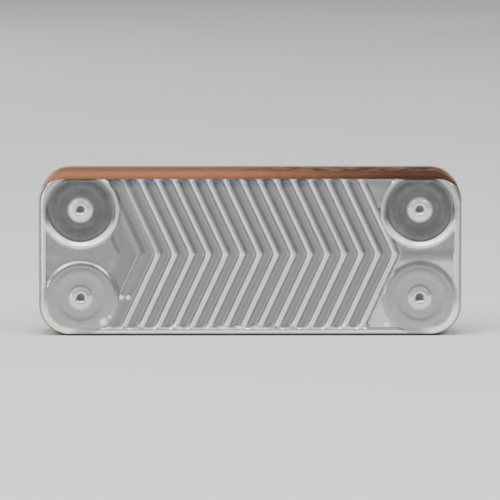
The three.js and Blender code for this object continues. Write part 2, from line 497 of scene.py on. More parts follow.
@dataclass
class Bench:
    """A material's node tree, with the textures that the finishes share."""

    material: bpy.types.Material

    def __post_init__(self) -> None:
        """Clears the tree and lays out the object's own coordinates, as millimetres along each axis."""
        self.material.use_nodes = True
        self.tree = self.material.node_tree
        self.tree.nodes.clear()
        self.place = self.node("ShaderNodeTexCoord").outputs["Object"]
        parts = self.node("ShaderNodeSeparateXYZ", sockets={0: self.place})
        self.x, self.y, self.z = (Value(self, parts.outputs[axis]) * PER_METRE for axis in "XYZ")

    def node(
        self,
        kind: str,
        settings: Mapping[str, Any] | None = None,
        sockets: Mapping[str | int, Any] | None = None,
    ) -> bpy.types.Node:
        """Adds a node.

        Args:
            kind: the node's type.
            settings: attributes to set first.
            sockets: what each input takes, by name or number: a value, a wrapped value or an output socket.

        Returns:
            The node.
        """
        made = self.tree.nodes.new(kind)
        for name, setting in (settings or {}).items():
            setattr(made, name, setting)
        for key, source in (sockets or {}).items():
            self._plug(made.inputs[key], source)
        return made

    def _plug(self, target: bpy.types.NodeSocket, source: Any) -> None:
        """Links an output to an input, or sets the input's own value."""
        if isinstance(source, Value):
            source = source.socket
        if isinstance(source, bpy.types.NodeSocket):
            self.tree.links.new(source, target)
        elif isinstance(source, tuple) and len(source) == 3 and target.type == "RGBA":
            target.default_value = (*source, 1.0)
        else:
            target.default_value = source

    def stretched(self, factors: Point) -> bpy.types.NodeSocket:
        """The object's coordinates, scaled along each axis."""
        made = self.node("ShaderNodeVectorMath", {"operation": "MULTIPLY"}, {0: self.place, 1: factors})
        return made.outputs[0]

    def cloud(
        self, size: float, detail: float = 3.0, place: bpy.types.NodeSocket | None = None, rough: float = 0.5
    ) -> Value:
        """Noise from 0 to 1 whose features are about size millimetres across.

        Args:
            size: width of a feature.
            detail: how many finer layers it has.
            place: coordinates to use in place of the object's own.
            rough: strength of the finer layers.

        Returns:
            The noise.
        """
        made = self.node(
            "ShaderNodeTexNoise",
            sockets={
                "Vector": place or self.place,
                "Scale": PER_METRE / size,
                "Detail": detail,
                "Roughness": rough,
            },
        )
        return Value(self, made.outputs[0])

    def speckle(self, size: float) -> Value:
        """Distance to the nearest of many scattered dots, in units of their spacing."""
        made = self.node(
            "ShaderNodeTexVoronoi", {"feature": "F1"}, {"Vector": self.place, "Scale": PER_METRE / size}
        )
        return Value(self, made.outputs["Distance"])

    def mix(self, factor: Value, first: Any, second: Any) -> bpy.types.NodeSocket:
        """Blends two colours.

        Args:
            factor: share of the second colour.
            first: a colour or an output socket.
            second: another.

        Returns:
            The blended colour.
        """
        made = self.node(
            "ShaderNodeMix", {"data_type": "RGBA", "clamp_factor": True}, {0: factor, 6: first, 7: second}
        )
        return made.outputs[2]

    def bump(self, height: Value, depth: float) -> bpy.types.NodeSocket:
        """A bumped normal whose full height is depth millimetres."""
        sockets = {"Strength": 1.0, "Distance": depth * MM, "Height": height}
        return self.node("ShaderNodeBump", sockets=sockets).outputs[0]

    def surface(self, **sockets: Any) -> None:
        """Ends the tree in a Principled surface. Underscores in names stand for spaces."""
        named = {name.replace("_", " "): source for name, source in sockets.items()}
        shader = self.node("ShaderNodeBsdfPrincipled", sockets=named)
        self.node("ShaderNodeOutputMaterial", sockets={"Surface": shader.outputs[0]})


@dataclass(frozen=True)
class Finish:
    """A material of the exchanger."""

    name: str

    def bench(self) -> Bench:
        """A fresh material to lay nodes out on."""
        return Bench(bpy.data.materials.new(self.name))

    def make(self) -> bpy.types.Material:
        """Builds the material."""
        raise NotImplementedError


@dataclass(frozen=True)
class PressedSteel(Finish):
    """Pressed stainless sheet, with painted highlights on the ridge crests and painted shade in the grooves
    and the upper port wells.
    """

    face_y: float = -26.0
    # crest is a painted highlight on the ridge crests, groove a painted shade in the grooves.
    crest: Colour = (0.86, 0.855, 0.845)
    plain: Colour = (0.44, 0.44, 0.436)
    groove: Colour = (0.31, 0.31, 0.312)
    # Painted shade on the floors of the upper wells; also the colour of the grime specks.
    well_shade_and_specks: Colour = (0.15, 0.152, 0.158)
    # Painted bluish shade in the groove ends along the upper edge.
    blue_shade: Colour = (0.12, 0.15, 0.19)
    # Painted shadow in the dimple of each pip.
    dark: Colour = (0.05, 0.05, 0.052)
    # Colour of the painted highlights.
    highlight_white: Colour = (0.97, 0.97, 0.965)
    # Places and radii of small painted highlights.
    glint_places: tuple[Point, ...] = (
        (-58.4, -20.0, 1.1), (-55.4, -20.0, 1.1), (-66.6, -31.2, 1.9),
        (-63.8, -28.8, 0.9), (62.0, -32.4, 1.3),
    )
    straw: Colour = (0.36, 0.335, 0.295)
    copper: Colour = (0.28, 0.12, 0.058)
    umber: Colour = (0.062, 0.023, 0.014)

    def make(self) -> bpy.types.Material:
        """Builds the material."""
        bench = self.bench()
        depth = bench.y - self.face_y
        blotch = bench.cloud(26.0, 4.0)
        haze = bench.cloud(5.0, 5.0, rough=0.62)
        grain = bench.cloud(0.35, 2.0)
        rolled = bench.cloud(1.1, 3.0, bench.stretched((0.04, 1.0, 1.0)))
        # low: mask of the grooves, which carries the painted shade there and leaves the painted highlight on
        # the crests.
        low = (depth + (haze - 0.5) * 0.5).mask(0.1, 1.15)
        # Painted bluish shade in the groove ends along the upper edge, weaker towards +X.
        groove_end_shade = low * (bench.z + (haze - 0.5) * 3.0).mask(29.5, 32.5)
        cool_shade = groove_end_shade * (0.7 - bench.x.mask(20.0, 60.0) * 0.5)
        field = bench.mix(cool_shade, bench.mix(low, self.crest, self.groove), self.blue_shade)
        near_port = port_distance(bench)
        steel = bench.mix(1.0 - near_port.mask(16.4, 17.8), field, self.disc(bench, near_port, haze))
        # Painted highlights on the fold round the lower corners and on a few small spots.
        bend = self.bend_highlight(bench, haze).larger(self.glint_mask(bench))
        # Painted highlight on the lower walls of the upper wells.
        crescent_highlight = self.crescent_highlight(bench, near_port)
        # The painted highlights are laid on in near white.
        steel = bench.mix(bend.larger(crescent_highlight), steel, self.highlight_white)
        tinted = bench.mix(blotch.mask(0.52, 0.8) * 0.3, steel, self.straw)
        specks = (1.0 - bench.speckle(3.4).mask(0.05, 0.12)) * haze.mask(0.5, 0.7)
        stained = bench.mix(specks * 0.4, tinted, self.well_shade_and_specks)
        skirt = depth.mask(2.4, 3.6) * (0.55 + haze * 0.6)
        wash = self.copper_edge(bench, haze).larger(skirt)
        shade = (bench.x + (haze - 0.5) * 40.0).mask(-30.0, 75.0) * bench.z.mask(-5.0, 25.0)
        colour = bench.mix(wash, stained, bench.mix(shade, self.copper, self.umber))
        pip = 1.0 - near_port.mask(4.8, 6.0)
        # Painted highlights on the folds, the well walls and the pips, which also take metal out of the
        # surface there.
        painted_highlight = bend.larger(crescent_highlight * 0.6).larger(pip * 0.22)
        roughness = 0.3 + low * 0.08 + wash * 0.26 - pip * 0.08 + (haze - 0.5) * 0.16 + (rolled - 0.5) * 0.1
        height = grain * 0.25 + rolled * 0.35 + haze * 0.7
        bench.surface(
            Base_Color=colour,
            Metallic=1.0 - wash.larger(painted_highlight) * 0.9,
            Roughness=roughness,
            Specular_IOR_Level=0.12,
            Normal=bench.bump(height, 0.03),
        )
        return bench.material

    def disc(self, bench: Bench, near_port: Value, haze: Value) -> bpy.types.NodeSocket:
        """Colour of a port's disc: painted shade on the floor of the upper wells, and a painted highlight on
        the pip round a painted shadow in its dimple.

        Args:
            bench: the material's bench.
            near_port: distance from the nearest port.
            haze: noise that breaks up the floor.

        Returns:
            The disc's colour.
        """
        upper = bench.z.mask(-1.0, 1.0)
        rings = (near_port * 2.1 + haze * 3.0).wave() * 0.03
        # Painted shade on the floors of the upper wells.
        floor = near_port.mask(5.4, 6.4) * (1.0 - near_port.mask(14.6, 16.4)) * (0.68 + haze * 0.5 + rings)
        shown = bench.mix(upper * floor, self.plain, self.well_shade_and_specks)
        # Painted highlight on the pip, and painted shadow in its dimple.
        pip = (1.0 - near_port.mask(4.6, 5.8)) * (0.8 + upper * 0.2)
        dimple = (1.0 - near_port.mask(1.3, 2.5)) * 0.9
        return bench.mix(dimple, bench.mix(pip, shown, self.crest), self.dark)

    @staticmethod
    def crescent_highlight(bench: Bench, near_port: Value) -> Value:
        """Mask of a painted highlight on the lower walls of the upper wells.

        Args:
            bench: the material's bench.
            near_port: distance from the nearest port.

        Returns:
            The mask.
        """
        below = (Ports.reach_z - bench.z).mask(3.0, 9.0) * bench.z.mask(-1.0, 1.0)
        return near_port.mask(14.6, 15.4) * (1.0 - near_port.mask(17.4, 18.2)) * below

    def glint_mask(self, bench: Bench) -> Value:
        """Mask of a few small painted highlights.

        Args:
            bench: the material's bench.

        Returns:
            The mask.
        """
        marks = []
        for x, z, radius in self.glint_places:
            across, up = bench.x - x, bench.z - z
            marks.append(1.0 - ((across**2.0 + up**2.0) ** 0.5).mask(radius * 0.5, radius * 1.3))
        found = marks[0]
        for mark in marks[1:]:
            found = found.larger(mark)
        return found

    @staticmethod
    def beyond(bench: Bench, outline: Outline, drop: float) -> Value:
        """Distance past a dropped outline's corner centres, which reaches the corner radius at its edge.

        Args:
            bench: the material's bench.
            outline: the outline.
            drop: how far it is lowered.

        Returns:
            The distance.
        """
        across = abs(bench.x) - (outline.length / 2 - outline.corner)
        up = abs(bench.z + drop) - (outline.height / 2 - outline.corner)
        return (across.larger(0.0) ** 2.0 + up.larger(0.0) ** 2.0) ** 0.5

    def copper_edge(self, bench: Bench, haze: Value) -> Value:
        """Mask of the copper that has crept over the fold along the upper edge.

        Args:
            bench: the material's bench.
            haze: noise that makes the edge uneven.

        Returns:
            The mask.
        """
        outline = Outline(length=196.5, height=73.0)
        reach = self.beyond(bench, outline, 2.5) + (haze - 0.5) * 0.5
        return reach.mask(outline.corner - 0.25, outline.corner + 0.3) * bench.z.mask(4.0, 12.0)

    def bend_highlight(self, bench: Bench, haze: Value) -> Value:
        """Mask of a painted highlight on the fold round the two lower corners.

        Args:
            bench: the material's bench.
            haze: noise that makes the edge uneven.

        Returns:
            The mask.
        """
        reach = self.beyond(bench, Outline(), 0.0) + (haze - 0.5) * 1.2
        corner = abs(bench.x).mask(76.0, 84.0) * (bench.z * -1.0).mask(20.0, 27.0)
        return reach.mask(9.6, 10.8) * (1.0 - reach.mask(12.4, 13.4)) * corner


@dataclass(frozen=True)
class WashedSteel(Finish):
    """The skirts of the inner plates: dulled stainless steel over which the braze copper has crept."""

    steel: Colour = (0.26, 0.15, 0.098)
    copper: Colour = (0.28, 0.12, 0.058)
    # Painted shade of the copper towards +X and the top.
    dark: Colour = (0.062, 0.023, 0.014)
    # Painted highlight along the skirts next to the mounting plate.
    tan: Colour = (0.50, 0.37, 0.27)

    def make(self) -> bpy.types.Material:
        """Builds the material."""
        bench = self.bench()
        creep = bench.cloud(9.0, 5.0, rough=0.6)
        grain = bench.cloud(0.7, 3.0)
        # Painted shade: the copper darkens towards +X and towards the top.
        along = bench.x.mask(-70.0, 80.0) * (0.35 + bench.z.mask(-5.0, 25.0) * 0.6)
        wash = (creep + (grain - 0.5) * 0.25).mask(0.36, 0.62)
        copper = bench.mix((along + (creep - 0.5) * 0.35).mask(0.05, 0.95), self.copper, self.dark)
        # Painted highlight: a tan line on the skirts next to the mounting plate.
        rear_edge_highlight = (bench.y + (creep - 0.5) * 1.5).mask(-6.0, -4.2)
        colour = bench.mix(rear_edge_highlight * 0.8, bench.mix(wash, self.steel, copper), self.tan)
        roughness = 0.5 + (creep - 0.5) * 0.25 + (grain - 0.5) * 0.15
        height = creep + grain * 0.4
        bench.surface(
            Base_Color=colour,
            Metallic=0.6,
            Roughness=roughness,
            Specular_IOR_Level=0.1,
            Normal=bench.bump(height, 0.05),
        )
        return bench.material


@dataclass(frozen=True)
class BrazeCopper(Finish):
    """Copper that has run in the furnace: lumpy, bright in places and brown in others, with painted shade
    that darkens it towards +X and towards the top.
    """

    bright: Colour = (0.46, 0.21, 0.11)
    # Painted shade of the copper towards +X and the top, mixed with its own brown patches.
    brown: Colour = (0.10, 0.038, 0.022)

    def make(self) -> bpy.types.Material:
        """Builds the material."""
        bench = self.bench()
        patch = bench.cloud(7.0, 5.0, rough=0.6)
        grain = bench.cloud(0.6, 3.0)
        # Painted shade: the copper browns towards +X and towards the top.
        along = bench.x.mask(-70.0, 80.0) * (0.3 + bench.z.mask(-5.0, 25.0) * 0.6)
        brown = (along + (patch - 0.5) * 0.55).mask(0.05, 0.95)
        colour = bench.mix(brown, self.bright, self.brown)
        roughness = 0.42 + brown * 0.14 + (grain - 0.5) * 0.2
        height = patch * 0.6 + grain
        bench.surface(
            Base_Color=colour,
            Metallic=0.8,
            Roughness=roughness,
            Specular_IOR_Level=0.25,
            Normal=bench.bump(height, 0.06),
        )
        return bench.material


@dataclass(frozen=True)
class RolledSteel(Finish):
    """Flat rolled sheet, with heat tint and copper creep round whatever is brazed into it."""

    steel: Colour = (0.60, 0.595, 0.58)
    dull: Colour = (0.40, 0.395, 0.38)
    straw: Colour = (0.55, 0.43, 0.29)
    copper: Colour = (0.66, 0.40, 0.29)

    def make(self) -> bpy.types.Material:
        """Builds the material."""
        bench = self.bench()
        streak = bench.cloud(1.6, 4.0, bench.stretched((0.03, 1.0, 1.0)))
        blotch = bench.cloud(18.0, 4.0, rough=0.6)
        grain = bench.cloud(0.5, 2.0)
        near_port = port_distance(bench)
        tint = (1.0 - (near_port + (blotch - 0.5) * 10.0).mask(13.0, 24.0)) * 0.55
        creep = 1.0 - (near_port + (blotch - 0.5) * 7.0).mask(14.2, 16.4)
        edge = (abs(bench.z) + (blotch - 0.5) * 5.0).mask(34.2, 36.4)
        mottle = blotch.mask(0.35, 0.7) * 0.25 + (streak - 0.5) * 0.3
        colour = bench.mix(tint, bench.mix(mottle, self.steel, self.dull), self.straw)
        colour = bench.mix(creep.larger(edge) * 0.8, colour, self.copper)
        roughness = 0.33 + (streak - 0.5) * 0.34 + (blotch - 0.5) * 0.2
        height = streak + grain * 0.3
        bench.surface(
            Base_Color=colour, Metallic=1.0, Roughness=roughness, Normal=bench.bump(height, 0.03)
        )
        return bench.material


def port_distance(bench: Bench) -> Value:
    """Millimetres from the axis of the nearest port.

    Args:
        bench: a material's bench.

    Returns:
        The distance over the surface.
    """
    across = abs(bench.x) - Ports.reach_x
    up = abs(bench.z) - Ports.reach_z
    return (across**2.0 + up**2.0) ** 0.5


@dataclass(frozen=True)
class TurnedSteel(Finish):
    """Lathe-turned steel, with tool marks round each port's axis."""

    steel: Colour = (0.66, 0.655, 0.64)
    stain: Colour = (0.42, 0.33, 0.25)

    def make(self) -> bpy.types.Material:
        """Builds the material."""
        bench = self.bench()
        patch = bench.cloud(6.0, 4.0)
        grain = bench.cloud(0.4, 2.0)
        marks = (port_distance(bench) * 21.0 + patch * 3.0).wave() * 0.5
        depth_marks = (bench.y * 20.0 + patch * 2.0).wave() * 0.3
        colour = bench.mix(patch.mask(0.5, 0.72) * 0.5, self.steel, self.stain)
        roughness = 0.26 + (patch - 0.5) * 0.2 + (grain - 0.5) * 0.1
        height = marks + depth_marks + grain * 0.6
        bench.surface(
            Base_Color=colour, Metallic=1.0, Roughness=roughness, Normal=bench.bump(height, 0.012)
        )
        return bench.material


@dataclass(frozen=True)
class MouldedRubber(Finish):
    """Matte black moulded rubber with a little bloom."""

    black: Colour = (0.018, 0.018, 0.019)
    bloom: Colour = (0.075, 0.075, 0.078)

    def make(self) -> bpy.types.Material:
        """Builds the material."""
        bench = self.bench()
        bloom = bench.cloud(4.0, 5.0, rough=0.65)
        grain = bench.cloud(0.25, 2.0)
        colour = bench.mix(bloom.mask(0.42, 0.75) * 0.7, self.black, self.bloom)
        roughness = 0.58 + (bloom - 0.5) * 0.3
        height = grain + bloom * 0.5
        bench.surface(Base_Color=colour, Roughness=roughness, Normal=bench.bump(height, 0.03))
        return bench.material


# ---- sub-assemblies ----------------------------------------------------------------------------------------


@dataclass(frozen=True)
class Ports:
    """Where the four ports and the two bushes stand."""

    reach_x: ClassVar[float] = 77.0
    reach_z: ClassVar[float] = 20.0
    bore: ClassVar[float] = 9.0

    @classmethod
    def places(cls) -> dict[str, Plan]:
        """Each port's name and centre."""
        return {
            "upper_left": (-cls.reach_x, cls.reach_z),
            "upper_right": (cls.reach_x, cls.reach_z),
            "lower_left": (-cls.reach_x, -cls.reach_z),
            "lower_right": (cls.reach_x, -cls.reach_z),
        }

    @classmethod
    def distance(cls, x: float, z: float) -> float:
        """Distance of a point from the axis of the nearest port."""
        return math.hypot(abs(x) - cls.reach_x, abs(z) - cls.reach_z)


def hand_over(piece: bpy.types.Object, finish: bpy.types.Material, slot: Slot, *nodes: str) -> None:
    """Dresses a finished piece and ties it to the frame.

    Args:
        piece: the Blender object.
        finish: its material.
        slot: the record's slot for that material.
        nodes: the CAD nodes that it stands for.
    """
    piece.data.materials.clear()
    piece.data.materials.append(finish)
    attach(piece, BODY)
    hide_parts(*nodes)
    LOG.info("%s: %d faces, %s", piece.name, len(piece.data.polygons), slot.value)


@dataclass(frozen=True)
class Pressing:
    """The shape that the press gives a plate, as a depth below its rim."""

    outline: Outline = Outline()
    relief: float = 1.9
    sheet: float = 0.4
    skirt_depth: float = 4.0
    skirt_slope: float = math.tan(math.radians(11.5))
    bend: float = 2.3
    rim_edge: float = 2.9
    rim_foot: float = 4.5
    ridge_pitch: float = 7.68
    ridge_point: float = -3.2
    ridge_slant: float = math.tan(math.radians(25.0))
    point_round: float = 0.7
    ridge_top: float = 0.0
    ridge_foot: float = 3.1
    first_ridge: int = -7
    last_ridge: int = 9
    upper_fade: Plan = (-64.0, -30.0)
    lower_fade: Plan = (-60.0, -37.0)
    end_foot: Plan = (0.8, 3.6)
    end_level: float = 0.5
    low_end_level: float = 0.8
    floor_edge: float = 14.2
    wall_top: float = 17.0
    ring_crest: float = 17.2
    ring_foot: float = 18.9
    land_edge: float = 15.3
    land_foot: float = 18.2
    pip_foot: float = 6.0
    pip_top: float = 2.7
    pip_rise: float = 0.95
    dimple: float = 2.7
    dimple_floor: float = 1.0
    dimple_depth: float = 1.35
    coined: tuple[float, float, float, float] = (9.6, 10.4, 12.9, 13.6)
    coin_rise: float = 0.12
    spots: tuple[Plan, ...] = ((-58.4, -20.0), (-55.4, -20.0))
    spot_rise: float = 0.6
    buckle: float = 0.03
    rim_rings: int = 10
    wall_rings: int = 13
    floor_rings: int = 12

    def slant_at(self, z: float) -> float:
        """How far a ridge has leaned towards -X at a height, with its point eased."""
        return self.ridge_slant * math.hypot(z, self.point_round)

    def ridge_place(self, x: float, z: float) -> float:
        """Where a point stands across the herringbone, counted in ridges."""
        return (x + self.slant_at(z) - self.ridge_point) / self.ridge_pitch

    def raise_at(self, x: float, z: float) -> float:
        """How high a point stands: 0 in a groove, 1 at the rim's level.

        Args:
            x: place along the exchanger.
            z: place up it.

        Returns:
            The height.
        """
        place = self.ridge_place(x, z)
        nearest = min(max(round(place), self.first_ridge), self.last_ridge)
        ridge = 1.0 - smooth(self.ridge_top, self.ridge_foot, abs(place - nearest) * self.ridge_pitch)
        point = self.ridge_point + nearest * self.ridge_pitch
        ridge *= smooth(*(self.upper_fade if z > 0.0 else self.lower_fade), point)
        beyond = max(self.first_ridge - place, place - self.last_ridge) * self.ridge_pitch
        level = self.end_level
        if x > 0.0:
            level += (self.low_end_level - level) * smooth(2.0, -4.0, z)
        height = soft_max(ridge, level * smooth(*self.end_foot, beyond), 0.1)
        for side in (-1, 1):
            across = x - side * Ports.reach_x
            low = math.hypot(across, z + Ports.reach_z)
            height = soft_max(height, 1.0 - smooth(self.land_edge, self.land_foot, low), 0.12)
            high = math.hypot(across, z - Ports.reach_z)
            ring = 1.0 - smooth(self.ring_crest, self.ring_foot, high)
            height = soft_max(height, ring, 0.12) * smooth(self.floor_edge, self.wall_top, high)
        rim = 1.0 - smooth(self.rim_edge, self.rim_foot, self.outline.inset_at(x, z))
        return soft_max(height, rim, 0.08) if height < 1.0 or rim < 1.0 else 1.0

    def pip_at(self, x: float, z: float) -> float:
        """How far a port's middle boss stands up from its disc.

        Args:
            x: place along the exchanger.
            z: place up it.

        Returns:
            The height in millimetres, with the coined ring and the small stamped marks.
        """
        radius = Ports.distance(x, z)
        boss = 1.0 - smooth(self.pip_top, self.pip_foot, radius)
        dimple = self.dimple_depth * (1.0 - smooth(self.dimple_floor, self.dimple, radius))
        inner, crest, fall, outer = self.coined
        coined = self.coin_rise * (smooth(inner, crest, radius) - smooth(fall, outer, radius))
        stamped = sum(1.0 - smooth(0.2, 1.5, math.dist(spot, (x, z))) for spot in self.spots)
        return self.pip_rise * (boss - dimple) + coined + self.spot_rise * stamped

    def depth_at(self, x: float, z: float, pips: bool) -> float:
        """Depth of the face below the rim's level.

        Args:
            x: place along the exchanger.
            z: place up it.
            pips: whether the discs have pips.

        Returns:
            The depth in millimetres.
        """
        level = self.relief * (1.0 - self.raise_at(x, z))
        if pips:
            level -= self.pip_at(x, z)
        return level + self.buckle * ripple(x, z, 24.0, 1.0)

    def fold(self, steps: int) -> list[tuple[float, float]]:
        """Inset and depth of the points down the rounded edge and the skirt.

        Args:
            steps: steps round the bend.

        Returns:
            The points, from the face to the free edge.
        """
        slant = math.hypot(1.0, self.skirt_slope)
        middle = self.bend * slant + self.skirt_slope * (self.skirt_depth - self.bend)
        sweep = math.atan(1.0 / self.skirt_slope)
        points = []
        for step in range(steps + 1):
            turn = sweep * step / steps
            points.append((middle - self.bend * math.sin(turn), self.bend * (1.0 - math.cos(turn))))
        last_inset, last_depth = points[-1]
        for part in (0.35, 0.7, 0.93, 1.0):
            points.append((last_inset * (1.0 - part), last_depth + (self.skirt_depth - last_depth) * part))
        return points

    def radii(self, sunken: bool, bore: float) -> list[float]:
        """Radii at which a port's disc needs a ring of points.

        Args:
            sunken: whether it is one of the upper wells.
            bore: radius of the port's hole, or 0.

        Returns:
            The radii.
        """
        start = self.floor_edge if sunken else self.land_edge
        end = self.disc_reach(sunken)
        floor = [bore + (start - bore) * step / self.floor_rings for step in range(self.floor_rings)]
        return floor + [start + (end - start) * step / self.wall_rings for step in range(self.wall_rings + 1)]

    def disc_reach(self, sunken: bool) -> float:
        """Radius at which a port's disc has merged with the field round it."""
        return (self.ring_foot if sunken else self.land_foot) + 0.25

    def sheet_surface(self, fineness: Fineness, blind: bool) -> Surface:
        """Meshes one pressed tray with its face at y = 0.

        Args:
            fineness: how closely it is meshed.
            blind: whether it is the cover, with pips and no port holes.

        Returns:
            The closed sheet.
        """
        steps = fineness.value
        fold = self.fold(steps.fold)
        start = fold[0][0]
        scatter = Scatter(apart=steps.apart)
        edge = scatter.hoop(self.outline.ring(start, steps.corner, steps.edge))
        bore = 0.0 if blind else Ports.bore
        if not blind:
            for centre in Ports.places().values():
                scatter.hoop(circle(centre, bore, steps.port))
        for part in range(1, self.rim_rings + 1):
            inset = start + (self.rim_foot + 0.6 - start) * part / self.rim_rings
            for x, z in self.outline.ring(inset, steps.corner, steps.edge):
                scatter.add(x, z)
        self._scatter_ports(scatter, steps.port, bore, blind)
        self._scatter_ridges(scatter, steps.ridge, steps.row)
        made = Surface()
        made.loop((x, self.depth_at(x, z, blind), z) for x, z in scatter.points)

        def kept(x: float, z: float) -> bool:
            """Whether a triangle lies outside the port holes."""
            return blind or Ports.distance(x, z) > bore

        made.faces.extend(scatter.triangles(kept))
        inner = edge
        for inset, depth in fold[1:]:
            ring = self.outline.ring(inset, steps.corner, steps.edge)
            outer = made.loop((x, depth, z) for x, z in ring)
            made.band(inner, outer)
            inner = outer
        made.thicken(self.sheet)
        return made

    def _scatter_ports(self, scatter: Scatter, sides: int, bore: float, blind: bool) -> None:
        """Adds rings of points over the port discs, clear of the rim.

        Args:
            scatter: takes the points.
            sides: steps round a full ring.
            bore: radius of the port's hole, or 0.
            blind: whether the plate is the cover, with pips.
        """
        for name, centre in Ports.places().items():
            rings = self.radii(name.startswith("upper"), bore)
            if blind:
                pip = [step * 0.5 for step in range(1, 14)]
                rings = pip + [radius for radius in rings if radius > self.pip_foot + 0.6] + list(self.coined)
            for radius in rings:
                count = max(12, round(sides * min(1.0, radius / 12.0)))
                for x, z in circle(centre, radius, count):
                    if self.outline.inset_at(x, z) > self.rim_foot + 0.3:
                        scatter.add(x, z)

    def _scatter_ridges(self, scatter: Scatter, ridge_steps: int, row: float) -> None:
        """Adds rows of points that follow the ridges, between the port discs.

        Args:
            scatter: takes the points.
            ridge_steps: steps across each ridge.
            row: spacing of the rows.
        """
        reach = self.outline.height / 2
        rows = round(reach / row)
        span = range((self.first_ridge - 4) * ridge_steps, (self.last_ridge + 8) * ridge_steps)
        for level in range(-rows, rows + 1):
            z = reach * level / rows
            for step in span:
                across = self.ridge_point + step * self.ridge_pitch / ridge_steps
                x = across - self.slant_at(z)
                clear_of_disc = Ports.distance(x, z) > self.disc_reach(z > 0.0) + 0.1
                if clear_of_disc and self.outline.inset_at(x, z) > self.rim_foot + 0.5:
                    scatter.add(x, z)


@dataclass
class PlateStack:
    """The cover and the nine plates behind it, each turned half round from the last."""

    pressing: Pressing = Pressing()
    plates: int = 10
    pitch: float = 2.4
    mounting: float = 2.0
    cover_finish: Finish = PressedSteel("pressed_steel")
    plate_finish: Finish = WashedSteel("washed_steel")

    def face_y(self, index: int) -> float:
        """Level of a plate's rim, counted from the cover."""
        return (index - self.plates) * self.pitch - self.mounting

    def node(self, index: int) -> str:
        """A plate's CAD node."""
        if index == 0:
            return "rear_cover_plate"
        return "port_end_plate" if index == self.plates - 1 else f"channel_plate_{index}"

    def build(self) -> list[bpy.types.Object]:
        """Makes the ten plates."""
        cover = self.pressing.sheet_surface(Fineness.SHOWN, blind=True)
        inner = self.pressing.sheet_surface(Fineness.INNER, blind=False)
        pieces = []
        for index in range(self.plates):
            turn = -1.0 if index % 2 else 1.0
            shape = inner if index else cover
            level = self.face_y(index)
            moved = Surface([(turn * x, y + level, turn * z) for x, y, z in shape.points], shape.faces)
            pieces.append(moved.piece("pressed_" + self.node(index)))
        return pieces

    def dress(self, pieces: Sequence[bpy.types.Object]) -> None:
        """Gives each plate its finish."""
        cover = self.cover_finish.make()
        plate = self.plate_finish.make()
        for index, piece in enumerate(pieces):
            hand_over(piece, plate if index else cover, Slot.PLATE if index else Slot.COVER, self.node(index))


